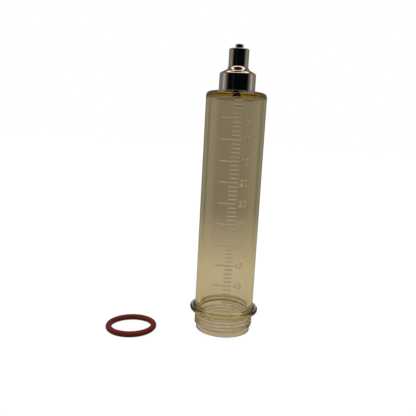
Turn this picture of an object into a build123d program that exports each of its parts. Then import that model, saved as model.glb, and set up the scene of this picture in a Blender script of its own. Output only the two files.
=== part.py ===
from build123d import *

import math
import os

# Injector barrel of the 50 ml class: a clear amber barrel with a screwed-on metal Luer-lock nose,
# and the piston's loose O-ring lying beside it. Millimetres, +Z up.
# The origin is the centre of the open rear rim, which the barrel stands on; the barrel's axis is Z.

# ---------------------------------------------------------------- driving dimensions

# barrel tube and end wall
bore_r = 12.5  # 1 ml of content is 2.04 mm of stroke in this bore
barrel_r = 15.1
barrel_top_z = 122.0
end_wall = 2.85
bore_end_fillet = 0.6
top_edge_r = 2.0
channel_r = 2.0

# open rear end: pilot, male thread and collar
pilot_r = 14.1
pilot_h = 2.45
rim_edge_r = 0.4
lead_in = 0.5
lead_in_h = 1.2
rear_crest_r = 15.0
rear_root_r = 14.7
rear_pitch = 1.75
rear_turns = 5.3
rear_chamfer_z = 3.3
groove_mouth = 1.1
groove_floor = 0.1
collar_r = 17.7
collar_z = 10.2
collar_h = 2.2
collar_edge_r = 0.95
collar_root_r = 1.6

# scale moulded on the outside, counted from the end wall's inner face
ml = 2.04  # length of one millilitre
last_mark = 50
relief = 0.2
mark_w = 0.45
marks_right_deg = 12.2
short_mark_deg = 15.8
long_mark_deg = 35.8
digit_w = 1.8
digit_h = 3.2
digit_stroke = 0.45
tens_deg = 19.2
ones_deg = 27.9

# threaded spigot on the end wall, inside the nose
spigot_h = 6.0
spigot_core_r = 6.2
spigot_crest_r = 7.0
spigot_edge = 0.3
nose_pitch = 1.5
ridge_foot = 1.15
ridge_crest = 0.3
ridge_start = 1.0
ridge_turns = 2.6
thread_play = 0.12

# flat seal and cone insert, clamped inside the nose
seal_r = 5.9
seal_hole_r = 2.0
seal_h = 1.0
insert_flange_r = 5.95
insert_flange_h = 1.2
insert_stem_r = 2.7
insert_tail_r = 1.9
insert_channel_r = 1.1

# nose
nose_r = 9.0
nose_base_edge_r = 0.4
nose_shoulder_h = 9.05
nose_shoulder_r = 1.4
nose_mouth_r = 7.25
nose_mouth_h = 0.7
nose_minor_r = 6.45
nose_minor_h = 6.4
nose_seat_r = 6.0
lock_r = 4.95
lock_foot_h = 11.1
lock_foot_r = 2.35
lock_h = 20.75
lock_edge_r = 0.4

# Luer lock: 6 % male cone and double-start female thread round it
lock_depth = 7.5
lock_bore_r = 3.55
lock_root_r = 4.0
lock_pitch = 2.5
cone_tip_r = 1.97
cone_stand_out = 2.25
cone_taper = 0.06  # on the diameter

# O-ring of the piston, lying on the same table as the barrel's rim
ring_cord_r = 1.5
ring_centre_r = 11.5
ring_x = -46.9
ring_y = -10.1

# ---------------------------------------------------------------- worked-out heights

collar_top_z = collar_z + collar_h
bore_end_z = barrel_top_z - end_wall
spigot_top_z = barrel_top_z + spigot_h
seal_top_z = spigot_top_z + seal_h
insert_top_z = seal_top_z + insert_flange_h
shoulder_z = barrel_top_z + nose_shoulder_h
lock_foot_z = barrel_top_z + lock_foot_h
lock_top_z = barrel_top_z + lock_h
lock_floor_z = lock_top_z - lock_depth
cone_top_z = lock_top_z + cone_stand_out
cone_base_r = cone_tip_r + cone_taper / 2 * (cone_top_z - lock_floor_z)

os.makedirs("parts", exist_ok=True)


def helical_bar(pitch, turns, inner_r, outer_r, inner_w, outer_w, start_z, start_deg=0):
    """A trapezoidal bar wound right-handed round the Z axis, as a ridge or as a groove's cutter."""
    with BuildPart() as bar:
        with BuildLine() as path:
            Helix(pitch=pitch, height=pitch * turns, radius=inner_r)
        with BuildSketch(Plane.XZ):
            with BuildLine():
                Polyline(
                    (inner_r, -inner_w / 2),
                    (outer_r, -outer_w / 2),
                    (outer_r, outer_w / 2),
                    (inner_r, inner_w / 2),
                    close=True,
                )
            make_face()
        sweep(path=path.wires()[0], is_frenet=True)
    return bar.part.moved(Location((0, 0, start_z), (0, 0, start_deg)))


# ---------------------------------------------------------------- numerals of the scale

# Centrelines of the numerals in a box one digit wide and high; only 0 to 5 occur on this scale.
half_w = (digit_w - digit_stroke) / 2
half_h = (digit_h - digit_stroke) / 2


def numeral_line(digit):
    """Draws a numeral's centreline in the open BuildLine."""
    if digit == 0:
        EllipticalCenterArc((0, 0), half_w, half_h)
    if digit == 1:
        Polyline((-0.7 * half_w, 0.55 * half_h), (0.2 * half_w, half_h), (0.2 * half_w, -half_h))
    if digit == 2:
        bowl = ThreePointArc((-half_w, 0.5 * half_h), (0, half_h), (half_w, 0.5 * half_h))
        Polyline(bowl @ 1, (0.8 * half_w, 0.1 * half_h), (-half_w, -half_h), (half_w, -half_h))
    if digit == 3:
        ThreePointArc((-half_w, 0.7 * half_h), (half_w, 0.55 * half_h), (-0.2 * half_w, 0.05 * half_h))
        ThreePointArc((-0.2 * half_w, 0.05 * half_h), (half_w, -0.5 * half_h), (-half_w, -0.7 * half_h))
    if digit == 4:
        Polyline(
            (0.5 * half_w, -half_h),
            (0.5 * half_w, half_h),
            (-half_w, -0.4 * half_h),
            (half_w, -0.4 * half_h),
        )
    if digit == 5:
        Polyline((0.8 * half_w, half_h), (-0.7 * half_w, half_h), (-0.85 * half_w, 0.1 * half_h))
        ThreePointArc((-0.85 * half_w, 0.1 * half_h), (half_w, -0.4 * half_h), (-half_w, -0.8 * half_h))


def front_plane(azimuth_deg, z):
    """A plane just under the barrel's surface, facing out. 0 degrees is the front (-Y), positive to the right."""
    a = math.radians(azimuth_deg)
    outward = (math.sin(a), -math.cos(a), 0)
    reading = (math.cos(a), math.sin(a), 0)
    depth = barrel_r - 2 * relief
    return Plane(origin=(depth * outward[0], depth * outward[1], z), x_dir=reading, z_dir=outward)


# thin skin that the numerals are cut from, so that their faces follow the barrel's curve
with BuildPart() as skin:
    with BuildSketch(Plane.XY.offset(bore_end_z - (last_mark + 2) * ml)):
        Circle(barrel_r + relief)
        Circle(barrel_r - relief / 2, mode=Mode.SUBTRACT)
    extrude(amount=last_mark * ml)

with BuildPart() as numerals:
    for mark in range(5, last_mark + 1, 5):
        for digit, azimuth in ((mark // 10, tens_deg), (mark % 10, ones_deg)):
            if azimuth == tens_deg and digit == 0:
                continue
            with BuildSketch(front_plane(azimuth, bore_end_z - mark * ml)):
                with BuildLine():
                    numeral_line(digit)
                trace(line_width=digit_stroke)
            extrude(amount=2)
    add(skin.part, mode=Mode.INTERSECT)

with BuildPart() as marks:
    for mark in range(1, last_mark + 1):
        sweep_deg = short_mark_deg
        if mark % 5 == 0:
            sweep_deg = long_mark_deg
        start = marks_right_deg - sweep_deg - 90
        with BuildSketch(Plane.XZ.rotated((0, 0, start))):
            with Locations((barrel_r, bore_end_z - mark * ml)):
                Rectangle(2 * relief, mark_w)
        revolve(axis=Axis.Z, revolution_arc=sweep_deg)

# ---------------------------------------------------------------- barrel

spigot_ridge = helical_bar(
    nose_pitch,
    ridge_turns,
    spigot_core_r - 0.1,
    spigot_crest_r,
    ridge_foot,
    ridge_crest,
    barrel_top_z + ridge_start,
)
rear_groove = helical_bar(
    rear_pitch,
    rear_turns,
    rear_root_r,
    rear_crest_r + 0.3,
    groove_floor,
    groove_mouth + 0.3 * (groove_mouth - groove_floor) / (rear_crest_r - rear_root_r),
    0,
)

with BuildPart() as barrel:
    with BuildSketch(Plane.XZ):
        with BuildLine():
            Polyline(
                (bore_r, lead_in_h),
                (bore_r + lead_in, 0),
                (pilot_r - rim_edge_r, 0),
            )
            RadiusArc((pilot_r - rim_edge_r, 0), (pilot_r, rim_edge_r), -rim_edge_r)
            Polyline(
                (pilot_r, rim_edge_r),
                (pilot_r, pilot_h),
                (rear_crest_r, rear_chamfer_z),
                (rear_crest_r, collar_z),
                (barrel_r, collar_z),
                (barrel_r, barrel_top_z - top_edge_r),
            )
            RadiusArc(
                (barrel_r, barrel_top_z - top_edge_r),
                (barrel_r - top_edge_r, barrel_top_z),
                -top_edge_r,
            )
            Polyline(
                (barrel_r - top_edge_r, barrel_top_z),
                (0, barrel_top_z),
                (0, bore_end_z),
                (bore_r - bore_end_fillet, bore_end_z),
            )
            RadiusArc(
                (bore_r - bore_end_fillet, bore_end_z),
                (bore_r, bore_end_z - bore_end_fillet),
                bore_end_fillet,
            )
            Line((bore_r, bore_end_z - bore_end_fillet), (bore_r, lead_in_h))
        make_face()
    revolve(axis=Axis.Z)
    # collar that the injector's frame seats against, filleted into the tube in front
    with BuildSketch(Plane.XZ) as collar_section:
        with BuildLine():
            Polyline(
                (barrel_r, collar_top_z + collar_root_r),
                (barrel_r - 1, collar_top_z + collar_root_r),
                (barrel_r - 1, collar_z),
                (collar_r, collar_z),
                (collar_r, collar_top_z),
                (barrel_r + collar_root_r, collar_top_z),
            )
            RadiusArc(
                (barrel_r + collar_root_r, collar_top_z),
                (barrel_r, collar_top_z + collar_root_r),
                collar_root_r,
            )
        make_face()
        fillet(collar_section.vertices().group_by(Axis.X)[-1], collar_edge_r)
    revolve(axis=Axis.Z)
    # spigot that carries the nose
    with BuildSketch(Plane.XY.offset(barrel_top_z)):
        Circle(spigot_core_r)
    extrude(amount=spigot_h)
    chamfer(barrel.edges().group_by(Axis.Z)[-1], spigot_edge)
    add(spigot_ridge)
    # flow channel through the end wall and the spigot
    with BuildSketch(Plane.XY.offset(bore_end_z)):
        Circle(channel_r)
    extrude(amount=end_wall + spigot_h, mode=Mode.SUBTRACT)
    add(rear_groove, mode=Mode.SUBTRACT)
    add(marks.part)
    add(numerals.part)
barrel.part.label = "barrel"
export_step(barrel.part, "parts/barrel.step")

# ---------------------------------------------------------------- seal between spigot and insert

with BuildPart() as nose_seal:
    with BuildSketch(Plane.XY.offset(spigot_top_z)):
        Circle(seal_r)
        Circle(seal_hole_r, mode=Mode.SUBTRACT)
    extrude(amount=seal_h)
nose_seal.part.label = "nose_seal"
export_step(nose_seal.part, "parts/nose_seal.step")

# ---------------------------------------------------------------- cone insert

with BuildPart() as luer_cone:
    with BuildSketch(Plane.XZ):
        with BuildLine():
            Polyline(
                (insert_channel_r, bore_end_z),
                (insert_tail_r, bore_end_z),
                (insert_tail_r, seal_top_z),
                (insert_flange_r, seal_top_z),
                (insert_flange_r, insert_top_z),
                (insert_stem_r, insert_top_z),
                (insert_stem_r, lock_floor_z),
                (cone_base_r, lock_floor_z),
                (cone_tip_r, cone_top_z),
                (insert_channel_r, cone_top_z),
                close=True,
            )
        make_face()
    revolve(axis=Axis.Z)
    tip_edges = luer_cone.edges().filter_by(GeomType.CIRCLE).group_by(Axis.Z)[-1]
    fillet(tip_edges.sort_by(SortBy.RADIUS)[-1], 0.25)
    chamfer(tip_edges.sort_by(SortBy.RADIUS)[0], 0.15)
luer_cone.part.label = "luer_cone"
export_step(luer_cone.part, "parts/luer_cone.step")

# ---------------------------------------------------------------- nose

# cutter for the thread that takes the spigot's ridge, with play on every side
flank = (ridge_foot - ridge_crest) / (spigot_crest_r - spigot_core_r)
cutter_inner_r = nose_minor_r - 0.1
cutter_outer_r = spigot_crest_r + thread_play
nose_groove = helical_bar(
    nose_pitch,
    ridge_turns + 1.4,
    cutter_inner_r,
    cutter_outer_r,
    ridge_foot - (cutter_inner_r - spigot_core_r) * flank + 2 * thread_play,
    ridge_crest - thread_play * flank + 2 * thread_play,
    barrel_top_z + ridge_start - nose_pitch,
)
lock_grooves = [
    helical_bar(
        2 * lock_pitch,
        1.25,
        lock_bore_r - 0.1,
        lock_root_r,
        1.5,
        1.0,
        lock_floor_z + 1.6,
        start,
    )
    for start in (0, 180)
]

with BuildPart() as nose:
    with BuildSketch(Plane.XZ) as nose_section:
        with BuildLine():
            Polyline(
                (nose_mouth_r, barrel_top_z),
                (nose_r, barrel_top_z),
                (nose_r, shoulder_z),
                (lock_r, lock_foot_z),
                (lock_r, lock_top_z),
                (lock_bore_r, lock_top_z),
                (lock_bore_r, lock_floor_z),
                (insert_stem_r, lock_floor_z),
                (insert_stem_r, insert_top_z),
                (nose_seat_r, insert_top_z),
                (nose_seat_r, barrel_top_z + nose_minor_h),
                (nose_minor_r, barrel_top_z + nose_minor_h),
                (nose_minor_r, barrel_top_z + nose_mouth_h),
                (nose_mouth_r, barrel_top_z + nose_mouth_h),
                close=True,
            )
        make_face()
        for corner, radius in (
            ((nose_r, barrel_top_z), nose_base_edge_r),
            ((nose_r, shoulder_z), nose_shoulder_r),
            ((lock_r, lock_foot_z), lock_foot_r),
            ((lock_r, lock_top_z), lock_edge_r),
        ):
            fillet(nose_section.vertices().sort_by_distance(corner)[0], radius)
    revolve(axis=Axis.Z)
    add(nose_groove, mode=Mode.SUBTRACT)
    for groove in lock_grooves:
        add(groove, mode=Mode.SUBTRACT)
nose.part.label = "nose"
export_step(nose.part, "parts/nose.step")

# ---------------------------------------------------------------- O-ring of the piston

with BuildPart() as piston_o_ring:
    with BuildSketch(Plane.XZ.offset(-ring_y)):
        with Locations((ring_x + ring_centre_r, ring_cord_r)):
            Circle(ring_cord_r)
    revolve(axis=Axis((ring_x, ring_y, 0), (0, 0, 1)))
piston_o_ring.part.label = "piston_o_ring"
export_step(piston_o_ring.part, "parts/piston_o_ring.step")
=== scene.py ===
import math

import bpy
import numpy as np
from mathutils import Matrix, Vector


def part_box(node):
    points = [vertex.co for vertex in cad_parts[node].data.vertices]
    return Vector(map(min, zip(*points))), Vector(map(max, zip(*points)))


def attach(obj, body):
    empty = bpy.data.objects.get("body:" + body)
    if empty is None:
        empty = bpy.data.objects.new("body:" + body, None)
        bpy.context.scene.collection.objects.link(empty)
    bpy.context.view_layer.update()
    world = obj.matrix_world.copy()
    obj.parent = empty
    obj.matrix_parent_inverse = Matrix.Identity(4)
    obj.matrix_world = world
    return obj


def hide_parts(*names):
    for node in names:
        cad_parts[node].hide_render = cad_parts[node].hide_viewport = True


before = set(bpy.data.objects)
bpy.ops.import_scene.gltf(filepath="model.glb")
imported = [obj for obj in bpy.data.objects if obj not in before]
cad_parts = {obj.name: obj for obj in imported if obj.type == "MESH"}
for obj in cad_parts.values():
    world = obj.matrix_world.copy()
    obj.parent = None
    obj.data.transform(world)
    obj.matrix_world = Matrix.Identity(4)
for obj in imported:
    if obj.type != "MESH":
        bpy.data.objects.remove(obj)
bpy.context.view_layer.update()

MM = 0.001
TAU = 2 * math.pi

# ------------------------------------------------------------------ sizes, mm, as in the CAD

barrel_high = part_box("barrel")[1]
ring_low, ring_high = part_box("piston_o_ring")

BORE_R, BARREL_R, COLLAR_R = 12.5, 15.1, 17.7
SPIGOT_H = 6.0
TOP_Z = barrel_high.z / MM - SPIGOT_H
END_WALL, BORE_END_FILLET, TOP_EDGE_R, CHANNEL_R = 2.85, 0.6, 2.0, 2.0
BORE_END_Z = TOP_Z - END_WALL
PILOT_R, PILOT_H, REAR_CREST_R, REAR_ROOT_R = 14.1, 2.45, 15.0, 14.7
LEAD_IN, LEAD_IN_H, RIM_EDGE_R = 0.5, 1.2, 0.4
REAR_PITCH, REAR_TURNS, REAR_CHAMFER_Z = 1.75, 5.3, 3.3
GROOVE_MOUTH, GROOVE_FLOOR = 1.1, 0.1
COLLAR_Z, COLLAR_H, COLLAR_EDGE_R, COLLAR_ROOT_R = 10.2, 2.2, 0.95, 1.6
ML, LAST_MARK, RELIEF, MARK_W = 2.04, 50, 0.2, 0.45
MARKS_RIGHT, SHORT_MARK, LONG_MARK = 12.2, 15.8, 35.8
DIGIT_W, DIGIT_H, DIGIT_STROKE, TENS, ONES = 1.8, 3.2, 0.45, 19.2, 27.9
SPIGOT_CORE_R, SPIGOT_CREST_R, NOSE_PITCH = 6.2, 7.0, 1.5
RIDGE_START, RIDGE_TURNS, RIDGE_FOOT, RIDGE_CREST = 1.0, 2.6, 1.15, 0.3
PLAY = 0.12
SEAL_R, SEAL_HOLE_R, SEAL_H = 5.9, 2.0, 1.0
FLANGE_R, FLANGE_H, STEM_R, TAIL_R, INSERT_CHANNEL_R = 5.95, 1.2, 2.7, 1.9, 1.1
NOSE_R, SHOULDER_H, SHOULDER_R = 9.0, 9.05, 1.4
MOUTH_R, MOUTH_H, MINOR_R, MINOR_H, SEAT_R = 7.25, 0.7, 6.45, 6.4, 6.0
LOCK_R, LOCK_FOOT_H, LOCK_FOOT_R, LOCK_H, LOCK_EDGE_R = 4.95, 11.1, 2.35, 20.75, 0.4
LOCK_DEPTH, LOCK_BORE_R, LOCK_ROOT_R, LOCK_PITCH = 7.5, 3.55, 4.0, 2.5
CONE_TIP_R, CONE_STAND_OUT = 1.97, 2.25

SPIGOT_TOP_Z = TOP_Z + SPIGOT_H
SEAL_TOP_Z = SPIGOT_TOP_Z + SEAL_H
INSERT_TOP_Z = SEAL_TOP_Z + FLANGE_H
SHOULDER_Z = TOP_Z + SHOULDER_H
LOCK_FOOT_Z = TOP_Z + LOCK_FOOT_H
LOCK_TOP_Z = TOP_Z + LOCK_H
LOCK_FLOOR_Z = LOCK_TOP_Z - LOCK_DEPTH
CONE_TOP_Z = LOCK_TOP_Z + CONE_STAND_OUT
CONE_BASE_R = CONE_TIP_R + 0.03 * (CONE_TOP_Z - LOCK_FLOOR_Z)


# ------------------------------------------------------------------ mesh tools

def smooth(t):
    t = np.clip(t, 0, 1)
    return t * t * (3 - 2 * t)


def rounded_loop(corners, step_deg=12):
    """A closed outline from (r, z, edge radius) corners: (r, z, normal r, normal z) rows.

    The outline runs with the solid on its left, so its normals point to the right of the path."""
    rows = []
    count = len(corners)
    for i, (r, z, radius) in enumerate(corners):
        p = np.array((r, z))
        a = np.array(corners[i - 1][:2]) - p
        b = np.array(corners[(i + 1) % count][:2]) - p
        a_len, b_len = np.hypot(*a), np.hypot(*b)
        a, b = a / a_len, b / b_len
        bend = math.acos(max(-1, min(1, float(-a @ b))))
        if bend < math.radians(2):
            t = b - a
            rows.append((r, z, t[1] / np.hypot(*t), -t[0] / np.hypot(*t)))
            continue
        tangent = radius * math.tan(bend / 2)
        turn = -1 if a[0] * b[1] - a[1] * b[0] > 0 else 1
        steps = max(2, round(math.degrees(bend) / step_deg))
        start = p + a * tangent
        n0 = np.array((-a[1], a[0]))
        centre = start - n0 * radius * turn
        for k in range(steps + 1):
            w = turn * bend * k / steps
            n = np.array((n0[0] * math.cos(w) - n0[1] * math.sin(w),
                          n0[0] * math.sin(w) + n0[1] * math.cos(w)))
            q = centre + n * radius * turn
            rows.append((q[0], q[1], n[0], n[1]))
    return rows


def finished_mesh(name, points, faces, normals):
    mesh = bpy.data.meshes.new(name)
    mesh.from_pydata(points.tolist(), [], faces)
    mesh.update()
    mesh.polygons.foreach_set("use_smooth", [True] * len(mesh.polygons))
    mesh.normals_split_custom_set_from_vertices(normals.tolist())
    piece = bpy.data.objects.new(name, mesh)
    bpy.context.scene.collection.objects.link(piece)
    return piece


class Tube:
    """A closed outline turned round the axis, with a shape function on some of its rows."""

    def __init__(self):
        self.rows = []

    def add(self, rows, shape=None, columns=None):
        for row in rows:
            self.rows.append((*row, shape, columns))

    def build(self, name, columns, centre=(0, 0)):
        points, normals, index = [], [], []
        total = 0
        for r, z, nr, nz, shape, mine in self.rows:
            cols = columns if mine is None else mine
            phi = np.radians(cols)
            if shape is None:
                radius = np.full(len(cols), r)
                n_r, n_p, n_z = np.full(len(cols), nr), np.zeros(len(cols)), np.full(len(cols), nz)
            else:
                side = 1 if nr > 0 else -1
                radius = shape(cols, z)
                eps = 0.01
                dz = (shape(cols, z + eps) - shape(cols, z - eps)) / (2 * eps)
                step = math.degrees(eps / r)
                dp = (shape(cols + step, z) - shape(cols - step, z)) / (2 * eps)
                n_r, n_p, n_z = side * np.ones(len(cols)), -side * dp, -side * dz
            length = np.sqrt(n_r ** 2 + n_p ** 2 + n_z ** 2)
            s, c = np.sin(phi), -np.cos(phi)
            points.append(np.c_[radius * s + centre[0], radius * c + centre[1], np.full(len(cols), z)])
            normals.append(np.c_[n_r * s - n_p * c, n_r * c + n_p * s, n_z] / length[:, None])
            index.append({round(float(a), 4): total + k for k, a in enumerate(cols)})
            total += len(cols)
        points = np.concatenate(points) * MM
        normals = np.concatenate(normals)
        faces = []
        count = len(self.rows)
        for i in range(count):
            low, high = index[i], index[(i + 1) % count]
            shared = [a for a in low if a in high]
            if len(shared) == len(low) == len(high):
                ids = list(low)
                for k, a in enumerate(ids):
                    b = ids[(k + 1) % len(ids)]
                    faces.append((low[a], low[b], high[b], high[a]))
            else:
                lows, highs = list(low), list(high)
                for k, a in enumerate(shared):
                    b = shared[(k + 1) % len(shared)]
                    faces.append(self.between(low, lows, a, b) + self.between(high, highs, a, b)[::-1])
        return finished_mesh(name, points, faces, normals)

    @staticmethod
    def between(lookup, order, a, b):
        i, j = order.index(a), order.index(b)
        if j > i:
            picked = order[i:j + 1]
        else:
            picked = order[i:] + order[:j + 1]
        return tuple(lookup[x] for x in picked)


def even_columns(step):
    return np.round(np.arange(-180, 180, step), 4)


def level_rows(z_from, z_to, spacing, r, side=1):
    """Rows of one radius between two heights, ends left out."""
    count = max(1, round(abs(z_to - z_from) / spacing))
    return [(r, z_from + (z_to - z_from) * k / count, side, 0) for k in range(1, count)]


# ------------------------------------------------------------------ barrel

def to_turn(cols):
    """Azimuth (0 at the front, positive to the right) to the fraction of a turn the threads count."""
    return ((cols - 90) % 360) / 360


THREAD_FADE = 0.04      # part of a turn over which a thread starts and ends


def helix_offset(cols, z, pitch, first, turns):
    """Height above the nearest turn of a right-handed thread, and how much of it is left at its ends."""
    turn = to_turn(cols)
    lap = np.round((z - first) / pitch - turn)
    lap = np.clip(lap, 0, None)
    along = turn + lap
    over = along > turns
    lap = np.where(over, lap - 1, lap)
    along = turn + lap
    offset = z - first - pitch * along
    left = smooth(along / THREAD_FADE) * smooth((turns - along) / THREAD_FADE)
    left = np.where(along < 0, 0, left)
    return offset, left


def rear_base(z):
    """The thread's crest, which starts with a chamfer from the pilot."""
    risen = np.clip((z - PILOT_H) / (REAR_CHAMFER_Z - PILOT_H), 0, 1)
    return PILOT_R + (REAR_CREST_R - PILOT_R) * risen


def soft_min(a, b, k):
    """The smaller of two surfaces, with the corner between them rounded over about k."""
    h = np.clip(0.5 + 0.5 * (b - a) / k, 0, 1)
    return b * (1 - h) + a * h - k * h * (1 - h)


GROOVE_ROUND, GROOVE_RUN_OUT, GROOVE_EDGE = 0.06, 0.5, 0.12


def rear_shape(cols, z):
    cols = np.asarray(cols, float)
    offset, left = helix_offset(cols, z, REAR_PITCH, 0, REAR_TURNS)
    base = rear_base(z) + 0 * cols
    slope = (REAR_CREST_R - REAR_ROOT_R) / ((GROOVE_MOUTH - GROOVE_FLOOR) / 2)
    rounded = np.sqrt(offset ** 2 + GROOVE_ROUND ** 2)
    groove = REAR_ROOT_R + np.maximum(0, rounded - GROOVE_FLOOR / 2) * slope
    groove = groove + (1 - left) * (REAR_CREST_R + GROOVE_RUN_OUT - REAR_ROOT_R)
    return soft_min(base, groove, GROOVE_EDGE)


RIDGE_RUN_OUT, RIDGE_EDGE = 0.9, 0.1


def spigot_shape(cols, z):
    cols = np.asarray(cols, float)
    offset, left = helix_offset(cols, z, NOSE_PITCH, TOP_Z + RIDGE_START, RIDGE_TURNS)
    slope = (SPIGOT_CREST_R - SPIGOT_CORE_R) / ((RIDGE_FOOT - RIDGE_CREST) / 2)
    ridge = SPIGOT_CREST_R - np.maximum(0, np.abs(offset) - RIDGE_CREST / 2) * slope
    ridge = ridge - (1 - left) * RIDGE_RUN_OUT
    return -soft_min(-ridge, np.full(len(cols), -SPIGOT_CORE_R), RIDGE_EDGE)


def arc_points(cx, cy, rx, ry, a0, a1, n=14):
    return [(cx + rx * math.cos(math.radians(a0 + (a1 - a0) * k / n)),
             cy + ry * math.sin(math.radians(a0 + (a1 - a0) * k / n))) for k in range(n + 1)]


def three_point(p, q, r, n=12):
    """Points of the arc from p through q to r."""
    (ax, ay), (bx, by), (cx, cy) = p, q, r
    aa, bb, cc = ax ** 2 + ay ** 2, bx ** 2 + by ** 2, cx ** 2 + cy ** 2
    d = 2 * (ax * (by - cy) + bx * (cy - ay) + cx * (ay - by))
    ux = (aa * (by - cy) + bb * (cy - ay) + cc * (ay - by)) / d
    uy = (aa * (cx - bx) + bb * (ax - cx) + cc * (bx - ax)) / d
    radius = math.hypot(ax - ux, ay - uy)
    t0, t1, t2 = (math.atan2(y - uy, x - ux) for x, y in (p, q, r))
    while t1 < t0:
        t1 += TAU
    while t2 < t0:
        t2 += TAU
    if t1 > t2:
        t2 -= TAU
    turns = [t0 + (t2 - t0) * k / n for k in range(n + 1)]
    return [(ux + radius * math.cos(t), uy + radius * math.sin(t)) for t in turns]


HW, HH = (DIGIT_W - DIGIT_STROKE) / 2, (DIGIT_H - DIGIT_STROKE) / 2
NUMERALS = {
    0: [arc_points(0, 0, HW, HH, 0, 360, 28)],
    1: [[(-0.7 * HW, 0.55 * HH), (0.2 * HW, HH), (0.2 * HW, -HH)]],
    2: [three_point((-HW, 0.5 * HH), (0, HH), (HW, 0.5 * HH))
        + [(0.8 * HW, 0.1 * HH), (-HW, -HH), (HW, -HH)]],
    3: [three_point((-HW, 0.7 * HH), (HW, 0.55 * HH), (-0.2 * HW, 0.05 * HH)),
        three_point((-0.2 * HW, 0.05 * HH), (HW, -0.5 * HH), (-HW, -0.7 * HH))],
    4: [[(0.5 * HW, -HH), (0.5 * HW, HH), (-HW, -0.4 * HH), (HW, -0.4 * HH)]],
    5: [[(0.8 * HW, HH), (-0.7 * HW, HH), (-0.85 * HW, 0.1 * HH)],
        three_point((-0.85 * HW, 0.1 * HH), (HW, -0.4 * HH), (-HW, -0.8 * HH))],
}


def line_distance(x, y, lines):
    best = np.full(x.shape, 9.0)
    for line in lines:
        for (ax, ay), (bx, by) in zip(line, line[1:]):
            dx, dy = bx - ax, by - ay
            t = np.clip(((x - ax) * dx + (y - ay) * dy) / (dx * dx + dy * dy), 0, 1)
            best = np.minimum(best, np.hypot(x - ax - t * dx, y - ay - t * dy))
    return best


def relief_of(distance, reach):
    """Height of a moulded stroke with a rounded back, by the distance from its middle line."""
    return RELIEF * np.cos(0.5 * math.pi * np.clip(distance / reach, 0, 1)) ** 2


MM_PER_DEG = BARREL_R * math.pi / 180
MARK_REACH, DIGIT_REACH = 0.34, 0.28


def scale_shape(cols, z):
    cols = np.asarray(cols, float)
    radius = np.full(len(cols), BARREL_R)
    mark = round((BORE_END_Z - z) / ML)
    if 1 <= mark <= LAST_MARK:
        up = abs(z - (BORE_END_Z - mark * ML)) - MARK_W / 2
        length = LONG_MARK if mark % 5 == 0 else SHORT_MARK
        middle = MARKS_RIGHT - length / 2
        across = (np.abs(cols - middle) - length / 2) * MM_PER_DEG
        outside = np.hypot(np.maximum(across, 0), max(up, 0))
        inside = np.minimum(np.maximum(across, up), 0)
        radius = radius + relief_of(outside + inside + MARK_W / 2, MARK_REACH)
    five = 5 * round((BORE_END_Z - z) / ML / 5)
    if 5 <= five <= LAST_MARK:
        y = z - (BORE_END_Z - five * ML)
        for digit, azimuth in ((five // 10, TENS), (five % 10, ONES)):
            if azimuth == TENS and digit == 0:
                continue
            x = (cols - azimuth) * MM_PER_DEG
            near = (np.abs(x) < DIGIT_W) & (abs(y) < DIGIT_H)
            if near.any():
                distance = line_distance(x, np.full(x.shape, y), NUMERALS[digit])
                radius = radius + np.where(near, relief_of(distance, DIGIT_REACH), 0)
    return radius


NUMERALS_LEFT, NUMERALS_RIGHT, FINE_STEP = 15.0, 32.2, 0.4
NUMERALS_COARSE = {15.0, 19.0, 23.5, 28.0, 32.0}
COARSE_STEP, MARK_END_STEPS = 4, (-0.25, 0.1, 0.55)


def barrel_columns():
    """Azimuths of the barrel's columns, and the finer set for the rows that cross the numerals."""
    ends = []
    for end, out in ((MARKS_RIGHT, 1), (MARKS_RIGHT - SHORT_MARK, -1), (MARKS_RIGHT - LONG_MARK, -1)):
        ends += [end + step * out for step in MARK_END_STEPS]
    coarse = set(np.round(np.arange(-180, 180, COARSE_STEP), 3))
    coarse = {a for a in coarse if min(abs(a - e) for e in ends) > 0.6}
    coarse |= set(np.round(ends, 3))
    coarse = {a for a in coarse if not NUMERALS_LEFT - 0.3 < a < NUMERALS_RIGHT + 0.2} | NUMERALS_COARSE
    fine = set(np.round(np.arange(NUMERALS_LEFT, NUMERALS_RIGHT, FINE_STEP), 3))
    return np.array(sorted(coarse)), np.array(sorted(coarse | fine))


MARK_ROWS = (-0.36, -0.23, -0.115, 0.0, 0.115, 0.23, 0.36)
NUMERAL_ROWS = [-1.65 + 0.132 * k for k in range(26)]
NUMERAL_REACH, ML_HALF, PLAIN_STEP = 1.7, 1.0, 0.8
REAR_ROWS_FROM, REAR_ROW_STEP, SPIGOT_ROW_STEP = 0.52, 0.105, 0.125
COLLAR_SEAT_EDGE_R, SPIGOT_FOOT_R, SPIGOT_EDGE = 0.12, 0.2, 0.3
FAR = 40.0      # helper corners this far off close an outline, and their rows are left out


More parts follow.
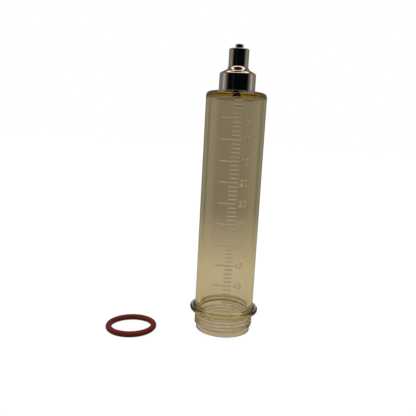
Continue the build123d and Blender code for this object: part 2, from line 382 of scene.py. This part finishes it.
def add_foot(tube, columns):
    """The bore's lead-in, the rim, the pilot, the rear thread and the collar."""
    foot = rounded_loop([
        (BORE_R, FAR, 0.1),
        (BORE_R, LEAD_IN_H, 0.3),
        (BORE_R + LEAD_IN, 0.0, 0.15),
        (PILOT_R, 0.0, RIM_EDGE_R),
        (PILOT_R, FAR, 0.1),
    ])
    tube.add([row for row in foot if row[1] < FAR / 2], columns=columns)
    rear = []
    z = REAR_ROWS_FROM
    while z < COLLAR_Z - 0.08:
        rear.append((REAR_CREST_R, z, 1, 0))
        z += REAR_ROW_STEP
    tube.add(rear, shape=rear_shape, columns=columns)
    collar = rounded_loop([
        (5.0, COLLAR_Z - FAR, 0.1),
        (REAR_CREST_R, COLLAR_Z - FAR, 0.05),
        (REAR_CREST_R, COLLAR_Z, COLLAR_SEAT_EDGE_R),
        (COLLAR_R, COLLAR_Z, COLLAR_EDGE_R),
        (COLLAR_R, COLLAR_Z + COLLAR_H, COLLAR_EDGE_R),
        (BARREL_R, COLLAR_Z + COLLAR_H, COLLAR_ROOT_R),
        (BARREL_R, COLLAR_Z + FAR, 0.1),
        (5.0, COLLAR_Z + FAR, 0.1),
    ])
    tube.add([row for row in collar if abs(row[1] - COLLAR_Z) < FAR / 2], columns=columns)


def add_scale(tube, columns, fine):
    """The tube's outside from the collar to the end wall, with the marks and the numerals."""
    lowest = BORE_END_Z - LAST_MARK * ML
    collar_top = COLLAR_Z + COLLAR_H + COLLAR_ROOT_R
    tube.add(level_rows(collar_top, lowest - NUMERAL_REACH, PLAIN_STEP, BARREL_R), columns=columns)
    between_marks = [s for s in NUMERAL_ROWS if min(abs(s - o) for o in MARK_ROWS) > 0.04]
    numeral_rows = sorted(between_marks + list(MARK_ROWS))
    for mark in range(LAST_MARK, 0, -1):
        centre = BORE_END_Z - mark * ML
        if mark % 5 == 0:
            steps, mine = numeral_rows, fine
        elif (mark + 1) % 5 == 0:
            steps, mine = MARK_ROWS, columns
        else:
            steps, mine = (-ML_HALF, *MARK_ROWS), columns
        for step in steps:
            tube.add([(BARREL_R, centre + step, 1, 0)], shape=scale_shape, columns=mine)
    tube.add(level_rows(BORE_END_Z - ML_HALF, TOP_Z - TOP_EDGE_R, PLAIN_STEP, BARREL_R), columns=columns)


def add_top(tube, columns):
    """The end wall's outside and the threaded spigot."""
    top = rounded_loop([
        (0.5, TOP_Z - FAR, 0.1),
        (BARREL_R, TOP_Z - FAR, 0.1),
        (BARREL_R, TOP_Z, TOP_EDGE_R),
        (SPIGOT_CORE_R, TOP_Z, SPIGOT_FOOT_R),
        (SPIGOT_CORE_R, TOP_Z + FAR, 0.1),
        (0.5, TOP_Z + FAR, 0.1),
    ], step_deg=7.5)
    tube.add([row for row in top if abs(row[1] - TOP_Z) < FAR / 2], columns=columns)
    rows = []
    z = TOP_Z + 0.28
    while z < SPIGOT_TOP_Z - SPIGOT_EDGE - 0.1:
        rows.append((SPIGOT_CORE_R, z, 1, 0))
        z += SPIGOT_ROW_STEP
    tube.add(rows, shape=spigot_shape, columns=columns)


def add_inside(tube, columns):
    """The spigot's end, the flow channel, the end wall's inside and the bore."""
    inside = rounded_loop([
        (FAR, SPIGOT_TOP_Z - 3, 0.1),
        (SPIGOT_CORE_R, SPIGOT_TOP_Z - 3, 0.02),
        (SPIGOT_CORE_R, SPIGOT_TOP_Z, SPIGOT_EDGE),
        (CHANNEL_R, SPIGOT_TOP_Z, 0.15),
        (CHANNEL_R, BORE_END_Z, 0.15),
        (BORE_R, BORE_END_Z, BORE_END_FILLET),
        (BORE_R, BORE_END_Z - FAR, 0.1),
        (FAR, BORE_END_Z - FAR, 0.1),
    ], step_deg=6)
    helper_z = SPIGOT_TOP_Z - 1
    inside = [row for row in inside if row[0] < BORE_R + 0.1 and row[1] > BORE_END_Z - FAR / 2 and
              not (row[0] > SPIGOT_CORE_R - 0.1 and TOP_Z < row[1] < helper_z)]
    tube.add(inside, columns=columns)
    tube.add(level_rows(BORE_END_Z - BORE_END_FILLET, 1.5, 6.0, BORE_R, side=-1), columns=columns)


def build_barrel():
    coarse, fine = barrel_columns()
    tube = Tube()
    add_foot(tube, coarse)
    add_scale(tube, coarse, fine)
    add_top(tube, coarse)
    add_inside(tube, coarse)
    return tube.build("barrel_amber", coarse)


# ------------------------------------------------------------------ nose, cone insert, seal, ring

SEAT_GAP = 0.02
GROOVE_MORE_TURNS, CUT_EDGE = 1.4, 0.08
LOCK_START, LOCK_TURNS, LOCK_HALF_FLOOR, LOCK_FLANK, LOCK_RUN_OUT = 1.6, 1.25, 0.5, 0.25, 0.6
DRUM_ROW_STEP, LOCK_ROW_STEP, GROOVE_ROW_STEP = 1.5, 0.16, 0.12


def nose_groove_shape(cols, z):
    cols = np.asarray(cols, float)
    first = TOP_Z + RIDGE_START - NOSE_PITCH
    offset, left = helix_offset(cols, z, NOSE_PITCH, first, RIDGE_TURNS + GROOVE_MORE_TURNS)
    flank = (RIDGE_FOOT - RIDGE_CREST) / (SPIGOT_CREST_R - SPIGOT_CORE_R)
    outer = SPIGOT_CREST_R + PLAY
    half_floor = (RIDGE_CREST - PLAY * flank + 2 * PLAY) / 2
    groove = outer - np.maximum(0, np.abs(offset) - half_floor) * 2 / flank
    groove = groove - (1 - left) * RIDGE_RUN_OUT
    base = np.full(len(cols), MINOR_R)
    return -soft_min(-base, -groove, CUT_EDGE)


def lock_shape(cols, z):
    cols = np.asarray(cols, float)
    best = np.full(len(cols), LOCK_BORE_R)
    for start in (0, 180):
        offset, left = helix_offset(cols - start, z, 2 * LOCK_PITCH, LOCK_FLOOR_Z + LOCK_START, LOCK_TURNS)
        past_floor = np.maximum(0, np.abs(offset) - LOCK_HALF_FLOOR)
        groove = LOCK_ROOT_R - past_floor * (LOCK_ROOT_R - LOCK_BORE_R) / LOCK_FLANK
        groove = groove - (1 - left) * LOCK_RUN_OUT
        best = -soft_min(-best, -groove, CUT_EDGE)
    return best


def build_nose():
    cols = even_columns(3)
    tube = Tube()
    base_z = TOP_Z + SEAT_GAP
    loop = rounded_loop([
        (MOUTH_R, base_z, 0.12),
        (NOSE_R, base_z, 0.4),
        (NOSE_R, SHOULDER_Z, SHOULDER_R),
        (LOCK_R, LOCK_FOOT_Z, LOCK_FOOT_R),
        (LOCK_R, LOCK_TOP_Z, LOCK_EDGE_R),
        (LOCK_BORE_R, LOCK_TOP_Z, 0.2),
        (LOCK_BORE_R, LOCK_FLOOR_Z, 0.15),
        (STEM_R, LOCK_FLOOR_Z, 0.08),
        (STEM_R, INSERT_TOP_Z, 0.08),
        (SEAT_R, INSERT_TOP_Z, 0.05),
        (SEAT_R, TOP_Z + MINOR_H, 0.05),
        (MINOR_R, TOP_Z + MINOR_H, 0.05),
        (MINOR_R, TOP_Z + MOUTH_H, 0.08),
        (MOUTH_R, TOP_Z + MOUTH_H, 0.08),
    ], step_deg=6)
    for row in loop:
        tube.add([row])
        r, z, nr = row[:3]
        if abs(r - NOSE_R) < 1e-6 and z < TOP_Z + 1:
            tube.add(level_rows(z, SHOULDER_Z - 1.2, DRUM_ROW_STEP, NOSE_R))
        if abs(r - LOCK_BORE_R) < 1e-6 and z > LOCK_TOP_Z - 1 and nr < -0.999:
            rows = level_rows(z, LOCK_FLOOR_Z + 0.15, LOCK_ROW_STEP, LOCK_BORE_R, side=-1)
            tube.add(rows, shape=lock_shape)
        if abs(r - MINOR_R) < 1e-6 and z > TOP_Z + MINOR_H - 1 and nr < -0.999:
            rows = level_rows(z, TOP_Z + MOUTH_H + 0.1, GROOVE_ROW_STEP, MINOR_R, side=-1)
            tube.add(rows, shape=nose_groove_shape)
    return tube.build("nose_plated", cols)


def build_lathe(name, corners, columns=3, step_deg=8, centre=(0, 0)):
    tube = Tube()
    tube.add(rounded_loop(corners, step_deg=step_deg))
    return tube.build(name, even_columns(columns), centre)


RING_OVAL, RING_LONG_WAY = 0.028, 62.0


def build_ring():
    """The loose ring: a round cord on a path that lies very slightly oval, as soft rings do."""
    low, high = ring_low / MM, ring_high / MM
    cord = (high.z - low.z) / 2
    centre = np.array(((low.x + high.x) / 2, (low.y + high.y) / 2))
    radius = (high.x - low.x) / 2 - cord
    turn = np.radians(np.arange(0, 360, 2.0))
    lobe = 2 * (turn - math.radians(RING_LONG_WAY))
    path = radius * (1 + RING_OVAL * np.cos(lobe))
    slope = -2 * radius * RING_OVAL * np.sin(lobe)
    radial = np.c_[np.cos(turn), np.sin(turn)]
    along = np.c_[-np.sin(turn), np.cos(turn)]
    across = radial * path[:, None] - along * slope[:, None]
    across /= np.linalg.norm(across, axis=1)[:, None]
    points, normals, faces = [], [], []
    steps, count = 40, len(turn)
    for k in range(steps):
        a = TAU * k / steps
        ring_xy = centre + radial * path[:, None] + across * (cord * math.cos(a))
        points.append(np.c_[ring_xy, np.full(count, cord + cord * math.sin(a))])
        normals.append(np.c_[across * math.cos(a), np.full(count, math.sin(a))])
        for i in range(count):
            j, m = (i + 1) % count, (k + 1) % steps
            faces.append((k * count + i, k * count + j, m * count + j, m * count + i))
    return finished_mesh("piston_ring_red", np.concatenate(points) * MM, faces, np.concatenate(normals))


barrel = build_barrel()
nose = build_nose()
cone = build_lathe("luer_cone_plated", [
    (INSERT_CHANNEL_R, BORE_END_Z, 0.12),
    (TAIL_R, BORE_END_Z, 0.2),
    (TAIL_R, SEAL_TOP_Z, 0.05),
    (FLANGE_R, SEAL_TOP_Z, 0.08),
    (FLANGE_R, INSERT_TOP_Z - 0.02, 0.08),
    (STEM_R - 0.02, INSERT_TOP_Z - 0.02, 0.02),
    (STEM_R - 0.02, LOCK_FLOOR_Z, 0.04),
    (CONE_BASE_R, LOCK_FLOOR_Z, 0.04),
    (CONE_TIP_R, CONE_TOP_Z, 0.25),
    (INSERT_CHANNEL_R, CONE_TOP_Z, 0.15),
])
seal = build_lathe("nose_seal_silicone", [
    (SEAL_HOLE_R, SPIGOT_TOP_Z, 0.1),
    (SEAL_R, SPIGOT_TOP_Z, 0.15),
    (SEAL_R, SEAL_TOP_Z, 0.15),
    (SEAL_HOLE_R, SEAL_TOP_Z, 0.1),
])
ring = build_ring()

for piece, node, body, slot in (
    (barrel, "barrel", "barrel", "amber_plastic"),
    (nose, "nose", "nose", "plated_metal"),
    (cone, "luer_cone", "nose", "plated_metal"),
    (seal, "nose_seal", "seal", "clear_silicone"),
    (ring, "piston_o_ring", "ring", "red_silicone"),
):
    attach(piece, body)
    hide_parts(node)


# ------------------------------------------------------------------ materials

class Nodes:
    """Short hand for building a tree of maths nodes."""

    def __init__(self, tree):
        self.tree = tree

    def maths(self, operation, *values):
        node = self.tree.nodes.new("ShaderNodeMath")
        node.operation = operation
        for socket, value in zip(node.inputs, values):
            if isinstance(value, (int, float)):
                socket.default_value = value
            else:
                self.tree.links.new(value, socket)
        return node.outputs[0]

    def mix(self, factor, a, b):
        node = self.tree.nodes.new("ShaderNodeMix")
        node.data_type = "RGBA"
        for socket, value in ((node.inputs[0], factor), (node.inputs[6], a), (node.inputs[7], b)):
            if isinstance(value, tuple):
                socket.default_value = (*value, 1)
            elif isinstance(value, (int, float)):
                socket.default_value = value
            else:
                self.tree.links.new(value, socket)
        return node.outputs[2]

    def multiply(self, a, b):
        node = self.tree.nodes.new("ShaderNodeVectorMath")
        node.operation = "MULTIPLY"
        for socket, value in zip(node.inputs, (a, b)):
            if isinstance(value, tuple):
                socket.default_value = value
            else:
                self.tree.links.new(value, socket)
        return node.outputs[0]

    def weighted(self, *terms):
        """The sum of (weight, socket) terms."""
        total = None
        for weight, socket in terms:
            part = self.maths("MULTIPLY", socket, weight)
            total = part if total is None else self.maths("ADD", total, part)
        return total

    def at(self):
        """The piece's own coordinates: the whole vector, and x, y and z."""
        coord = self.tree.nodes.new("ShaderNodeTexCoord")
        split = self.tree.nodes.new("ShaderNodeSeparateXYZ")
        self.tree.links.new(coord.outputs["Object"], split.inputs[0])
        return coord.outputs["Object"], *split.outputs

    def noise(self, size_mm, detail=2.0, stretch=(1, 1, 1)):
        """Noise from 0 to 1 on the piece, with features of about the given size."""
        noise = self.tree.nodes.new("ShaderNodeTexNoise")
        noise.inputs["Scale"].default_value = 1 / (size_mm * MM)
        noise.inputs["Detail"].default_value = detail
        self.tree.links.new(self.multiply(self.at()[0], stretch), noise.inputs["Vector"])
        return noise.outputs[0]

    def bump(self, height, depth_mm, under=None):
        bump = self.tree.nodes.new("ShaderNodeBump")
        bump.inputs["Distance"].default_value = depth_mm * MM
        self.tree.links.new(height, bump.inputs["Height"])
        if under is not None:
            self.tree.links.new(under, bump.inputs["Normal"])
        return bump.outputs[0]

    def between(self, value, low, high):
        """0 below low, 1 above high."""
        node = self.tree.nodes.new("ShaderNodeMapRange")
        node.inputs["From Min"].default_value = low
        node.inputs["From Max"].default_value = high
        self.tree.links.new(value, node.inputs["Value"])
        return node.outputs[0]

    def ramp(self, value, stops):
        """Straight-line steps between (place, grey or colour) stops."""
        node = self.tree.nodes.new("ShaderNodeValToRGB")
        elements = node.color_ramp.elements
        while len(elements) < len(stops):
            elements.new(0.5)
        for element, (place, colour) in zip(elements, stops):
            element.position = place
            element.color = (*colour, 1) if isinstance(colour, tuple) else (colour, colour, colour, 1)
        self.tree.links.new(value, node.inputs[0])
        return node.outputs[0]


def new_material(name):
    material = bpy.data.materials.new(name)
    material.use_nodes = True
    return material, material.node_tree.nodes, material.node_tree.links


def amber_plastic():
    """Clear polished plastic: mould waviness, faint wiping marks, duller patches, a scuffed top edge."""
    material, nodes, links = new_material("amber_plastic")
    bsdf = nodes["Principled BSDF"]
    n = Nodes(material.node_tree)
    tint = n.mix(n.noise(14.0), (0.99, 0.945, 0.985), (0.98, 0.935, 0.972))
    links.new(tint, bsdf.inputs["Base Color"])
    wiped = n.between(n.noise(0.5, 3.0, (1.0, 1.0, 0.04)), 0.62, 0.75)
    handled = n.between(n.noise(9.0, 3.0), 0.55, 0.75)
    edge = n.between(n.at()[3], (TOP_Z - 1.3) * MM, (TOP_Z - 0.5) * MM)
    scuffed = n.maths("MULTIPLY", edge, n.maths("ADD", n.noise(1.5, 3.0), 0.4))
    rubbed = n.between(n.at()[3], (TOP_Z - 0.5) * MM, (TOP_Z - 0.1) * MM)
    roughness = n.weighted((0.02, wiped), (0.01, handled), (0.2, scuffed), (0.3, rubbed))
    links.new(roughness, bsdf.inputs["Roughness"])
    wavy = n.bump(n.noise(16.0, 0.0, (1.0, 1.0, 0.6)), 0.02)
    links.new(n.bump(wiped, 0.0002, wavy), bsdf.inputs["Normal"])
    bsdf.inputs["IOR"].default_value = 1.63
    bsdf.inputs["Transmission Weight"].default_value = 1.0
    absorb = nodes.new("ShaderNodeVolumeAbsorption")
    absorb.inputs["Color"].default_value = (0.878, 0.777, 0.2, 1)
    absorb.inputs["Density"].default_value = 200
    links.new(absorb.outputs["Volume"], nodes["Material Output"].inputs["Volume"])
    return material


def plated_metal(name, painted_shade_below=None):
    """Nickel plating on turned metal: fine rings, smudges, worn edges. Below a height it is painted
    near-black, as painted shade, and made rougher.
    """
    material, nodes, links = new_material(name)
    bsdf = nodes["Principled BSDF"]
    n = Nodes(material.node_tree)
    tarnish = n.noise(3.5, 4.0)
    colour = n.mix(n.between(tarnish, 0.35, 0.7), (0.67, 0.57, 0.48), (0.60, 0.50, 0.42))
    sharpness = nodes.new("ShaderNodeNewGeometry").outputs["Pointiness"]
    worn = n.maths("MULTIPLY", n.between(sharpness, 0.54, 0.62), n.between(n.noise(0.8, 3.0), 0.4, 0.6))
    colour = n.mix(worn, colour, (0.74, 0.64, 0.48))
    turned = n.noise(1.0, 3.0, (0.15, 0.15, 5.0))
    smudge = n.between(n.noise(2.2, 4.0), 0.5, 0.8)
    roughness = n.maths("ADD", n.weighted((0.05, smudge), (0.03, turned), (0.1, worn)), 0.03)
    if painted_shade_below is not None:
        # painted shade: below this height the metal is coloured near-black for the dark it should mirror
        # inside the barrel, and it is made rougher
        painted_shade_and_matte = n.maths("LESS_THAN", n.at()[3], painted_shade_below * MM)
        colour = n.mix(painted_shade_and_matte, colour, (0.03, 0.017, 0.008))
        roughness = n.maths("ADD", roughness, n.maths("MULTIPLY", painted_shade_and_matte, 0.3))
    links.new(colour, bsdf.inputs["Base Color"])
    links.new(roughness, bsdf.inputs["Roughness"])
    links.new(n.bump(turned, 0.0006, n.bump(n.noise(3.0, 2.0), 0.006)), bsdf.inputs["Normal"])
    bsdf.inputs["Metallic"].default_value = 1.0
    return material


def silicone(name, colour, seam_z=None):
    """Moulded silicone: satin, very fine grain, mottled pigment, dust. A height adds a parting line."""
    material, nodes, links = new_material(name)
    bsdf = nodes["Principled BSDF"]
    n = Nodes(material.node_tree)
    darker = tuple(0.84 * c for c in colour)
    dusty = tuple(0.6 * c + 0.07 for c in colour)
    dust = n.maths("MULTIPLY", n.between(n.noise(0.35, 4.0), 0.62, 0.8), 0.12)
    pigment = n.mix(n.between(n.noise(1.6, 3.0), 0.35, 0.65), colour, darker)
    links.new(n.mix(dust, pigment, dusty), bsdf.inputs["Base Color"])
    links.new(n.maths("ADD", n.weighted((0.2, n.noise(0.9, 3.0))), 0.32), bsdf.inputs["Roughness"])
    normal = n.bump(n.noise(0.15, 2.0), 0.0012, n.bump(n.noise(4.0, 1.0), 0.02))
    if seam_z is not None:
        off = n.maths("ABSOLUTE", n.maths("SUBTRACT", n.at()[3], seam_z * MM))
        normal = n.bump(n.between(off, 0.08 * MM, 0.02 * MM), 0.012, normal)
    links.new(normal, bsdf.inputs["Normal"])
    bsdf.inputs["Specular IOR Level"].default_value = 0.15
    bsdf.inputs["Sheen Weight"].default_value = 0.03
    bsdf.inputs["Sheen Roughness"].default_value = 0.4
    return material


barrel.data.materials.append(amber_plastic())
nose.data.materials.append(plated_metal("plated_metal"))
# the insert's tail below the seal gets painted shade: a near-black colour for the dark it mirrors
cone.data.materials.append(plated_metal("plated_insert", SEAL_TOP_Z - 0.1))
seal.data.materials.append(silicone("clear_silicone", (0.62, 0.61, 0.57)))
ring.data.materials.append(silicone("red_silicone", (0.165, 0.018, 0.009), 1.5))


# ------------------------------------------------------------------ floor, light, camera

CAMERA_AT = (0.0, -246.97, 99.77)
CAMERA_YAW, CAMERA_PITCH, CAMERA_ROLL = -0.04488, 0.14610, 0.05500
CAMERA_FOCAL_PX = 485.98
FRAME_PX = 416

# The lamp's direction, as shares of the camera's right, the way back to the camera, and up.
LAMP_RIGHT, LAMP_NEAR, LAMP_UP = -0.04, 0.21, 0.977

# Light by azimuth and by elevation, in degrees. Azimuth 0 is towards the camera, 180 away from it.
PLASTIC_AZIMUTHS = [
    (0, (0.07, 0.035, 0.0)), (48, (0.10, 0.05, 0.0)), (75, (0.19, 0.12, 0.06)),
    (92, (0.49, 0.44, 0.38)), (108, 0.9), (120, 0.9), (126, 0.7), (138, 0.7),
    (148, 1.06), (168, 1.06), (174, 0.99), (180, (1.0, 0.955, 1.0))]
METAL_AZIMUTHS = [
    (0, (0.002, 0.003, 0.006)), (60, (0.003, 0.004, 0.006)), (69, 0.05), (82, 0.27), (97, 0.3),
    (110, 0.28), (144, 0.24), (160, 0.12), (180, 0.06)]
# The floor's light dims at steep downward angles: painted shade for the barrel's own shadow on the table
# under it.
FLOOR_ELEVATIONS = [(-90, 0.46), (-20.0, 0.48), (-17.8, 0.55), (90, 0.55)]

# Colours of what is seen through the plastic, and of what is mirrored in the surfaces.
THROUGH_GAIN = (0.298, 0.298, 0.298)
THROUGH_CEILING, THROUGH_LAMP = (0.115, 0.09, 0.05), (0.5, 0.46, 0.4)
MIRROR_STRIP, MIRROR_PATCH = (0.022, 0.03, 0.028), (0.62, 0.62, 0.62)
MIRROR_CEILING, MIRROR_LAMP = (0.2, 0.185, 0.165), (1.8, 1.75, 1.65)
MIRROR_LAMP_HUB, MIRROR_BELOW = (0.03, 0.028, 0.025), (0.50, 0.43, 0.36)
FLOOR_SEEN, FLOOR_GLOW, FLOOR_MATT = (0.945, 0.945, 0.945), (0.03, 0.03, 0.03), (0.09, 0.09, 0.09)
# painted light and shade: the glow of the floor under the barrel, amber-tinted and dimmer than the open
# floor
INNER_FLOOR_PAINTED_LIGHT = (0.435, 0.365, 0.265)
FLOOR_HALF_M = 6.0


def ramp_degrees(stops, low, high):
    return [((angle - low) / (high - low), colour) for angle, colour in stops]


def build_world():
    """Surroundings that turn with the camera, with separate light for each kind of ray."""
    world = bpy.data.worlds.new("studio")
    bpy.context.scene.world = world
    world.use_nodes = True
    tree = world.node_tree
    tree.nodes.clear()
    n = Nodes(tree)
    coord = tree.nodes.new("ShaderNodeTexCoord")
    split = tree.nodes.new("ShaderNodeSeparateXYZ")
    tree.links.new(coord.outputs["Generated"], split.inputs[0])
    z = split.outputs[2]
    seen = tree.nodes.new("ShaderNodeSeparateXYZ")
    tree.links.new(coord.outputs["Camera"], seen.inputs[0])
    a, b, c = seen.outputs
    # undo the camera's roll and pitch, so that the directions are level
    cr, sr = math.cos(CAMERA_ROLL), math.sin(CAMERA_ROLL)
    cp, sp = math.cos(CAMERA_PITCH), math.sin(CAMERA_PITCH)
    right = n.weighted((cr, a), (-sr, b))
    near = n.weighted((-cp, c), (-sp * sr, a), (-sp * cr, b))
    side = n.maths("ARCTAN2", right, near)
    azimuth = n.maths("DIVIDE", n.maths("ABSOLUTE", side), math.pi)
    signed = n.maths("ADD", n.maths("DIVIDE", side, TAU), 0.5)
    elevation = n.maths("ADD", n.maths("DIVIDE", n.maths("ARCSINE", z), math.pi), 0.5)
    lamp_angle = n.weighted((LAMP_RIGHT, right), (LAMP_NEAR, near), (LAMP_UP, z))
    lamp = n.ramp(lamp_angle, [(0.0, 0.0), (0.66, 0.0), (0.72, 1.0), (0.85, 1.0), (0.87, 0.0)])
    lamp_hub = n.ramp(lamp_angle, [(0.0, 0.0), (0.86, 0.0), (0.875, 1.0)])

    def by_elevation(*stops):
        return n.ramp(elevation, ramp_degrees(stops, -90, 90))

    def by_azimuth(*stops):
        return n.ramp(azimuth, ramp_degrees(stops, 0, 180))

    floor = by_elevation(*FLOOR_ELEVATIONS)
    below = by_elevation((-90, 1.0), (-15.3, 1.0), (-8.6, 0.0), (90, 0.0))
    ceiling = by_elevation((-90, 0.0), (16, 0.0), (30, 1.0), (90, 1.0))

    # what the clear plastic bends into view
    through = n.multiply(by_azimuth(*PLASTIC_AZIMUTHS), THROUGH_GAIN)
    through = n.mix(ceiling, through, THROUGH_CEILING)
    through = n.mix(lamp, through, THROUGH_LAMP)
    through = n.mix(below, through, floor)

    # what the plating and the plastic's surface mirror
    patch = n.multiply(by_azimuth((88, 0.0), (92, 1.0), (102, 1.0), (106, 0.0)),
                       by_elevation((4.5, 0.0), (5.5, 1.0), (7.6, 1.0), (8.2, 0.0)))
    strip = n.ramp(signed, ramp_degrees([(-32.5, 0.0), (-30, 1.0), (-28, 1.0), (-25.5, 0.0)], -180, 180))
    mirror = n.mix(strip, by_azimuth(*METAL_AZIMUTHS), MIRROR_STRIP)
    mirror = n.mix(patch, mirror, MIRROR_PATCH)
    mirror = n.mix(ceiling, mirror, MIRROR_CEILING)
    mirror = n.mix(lamp, mirror, MIRROR_LAMP)
    mirror = n.mix(lamp_hub, mirror, MIRROR_LAMP_HUB)
    mirror = n.mix(below, mirror, MIRROR_BELOW)

    soft = by_elevation((-90, 0.0), (0, 0.12), (50, 1.1), (90, 1.5))
    path = tree.nodes.new("ShaderNodeLightPath")
    colour = n.mix(path.outputs["Is Transmission Ray"], mirror, through)
    colour = n.mix(path.outputs["Is Diffuse Ray"], colour, soft)
    colour = n.mix(path.outputs["Is Camera Ray"], colour, (1.0, 1.0, 1.0))
    background = tree.nodes.new("ShaderNodeBackground")
    tree.links.new(colour, background.inputs["Color"])
    out = tree.nodes.new("ShaderNodeOutputWorld")
    tree.links.new(background.outputs[0], out.inputs["Surface"])


def build_floor():
    """The white table, which mirrored and transmitted rays pass by."""
    mesh = bpy.data.meshes.new("floor")
    half = FLOOR_HALF_M
    corners = [(-half, -half, 0), (half, -half, 0), (half, half, 0), (-half, half, 0)]
    mesh.from_pydata(corners, [], [(0, 1, 2, 3)])
    floor = bpy.data.objects.new("floor", mesh)
    floor.location.z = -0.00002
    bpy.context.scene.collection.objects.link(floor)
    floor.visible_glossy = False
    floor.visible_transmission = False
    material, nodes, links = new_material("floor")
    n = Nodes(material.node_tree)
    path = nodes.new("ShaderNodeLightPath")
    emission = nodes.new("ShaderNodeEmission")
    glow = n.mix(path.outputs["Is Camera Ray"], FLOOR_GLOW, FLOOR_SEEN)
    links.new(glow, emission.inputs["Color"])
    diffuse = nodes.new("ShaderNodeBsdfDiffuse")
    diffuse.inputs["Color"].default_value = (*FLOOR_MATT, 1)
    add = nodes.new("ShaderNodeAddShader")
    links.new(emission.outputs[0], add.inputs[0])
    links.new(diffuse.outputs[0], add.inputs[1])
    links.new(add.outputs[0], nodes["Material Output"].inputs["Surface"])
    mesh.materials.append(material)


def build_camera():
    """The camera that was fitted to the photo's outline."""
    data = bpy.data.cameras.new("camera")
    data.sensor_width = 36.0
    data.lens = CAMERA_FOCAL_PX / FRAME_PX * data.sensor_width
    data.clip_start, data.clip_end = 0.01, 100
    camera = bpy.data.objects.new("camera", data)
    bpy.context.scene.collection.objects.link(camera)
    cy, sy = math.cos(CAMERA_YAW), math.sin(CAMERA_YAW)
    cp, sp = math.cos(CAMERA_PITCH), math.sin(CAMERA_PITCH)
    forward = Vector((sy * cp, cy * cp, -sp))
    right = Vector((cy, -sy, 0))
    up = right.cross(forward)
    cr, sr = math.cos(CAMERA_ROLL), math.sin(CAMERA_ROLL)
    right, up = cr * right + sr * up, -sr * right + cr * up
    rotation = Matrix((right, up, -forward)).transposed()
    camera.matrix_world = Matrix.Translation(Vector(CAMERA_AT) * MM) @ rotation.to_4x4()
    bpy.context.scene.camera = camera


def build_inner_floor():
    """A glowing disc on the floor inside the barrel, seen only through the amber: painted light and shade,
    the amber-tinted, dimmer floor under the barrel.
    """
    turn = np.radians(np.arange(0, 360, 6))
    radius = (BORE_R - 0.3) * MM
    points = np.c_[radius * np.cos(turn), radius * np.sin(turn), np.full(len(turn), -0.00001)]
    mesh = bpy.data.meshes.new("floor_inside")
    mesh.from_pydata(points.tolist(), [], [tuple(range(len(turn)))])
    disc = bpy.data.objects.new("floor_inside", mesh)
    bpy.context.scene.collection.objects.link(disc)
    disc.visible_camera = False
    disc.visible_glossy = False
    disc.visible_diffuse = False
    material, nodes, links = new_material("floor_inside")
    # the disc's glow is painted light; no lamp lights it
    emission = nodes.new("ShaderNodeEmission")
    emission.inputs["Color"].default_value = (*INNER_FLOOR_PAINTED_LIGHT, 1)
    links.new(emission.outputs[0], nodes["Material Output"].inputs["Surface"])
    mesh.materials.append(material)


build_world()
build_floor()
build_inner_floor()
build_camera()
bpy.context.scene.view_settings.view_transform = "Standard"
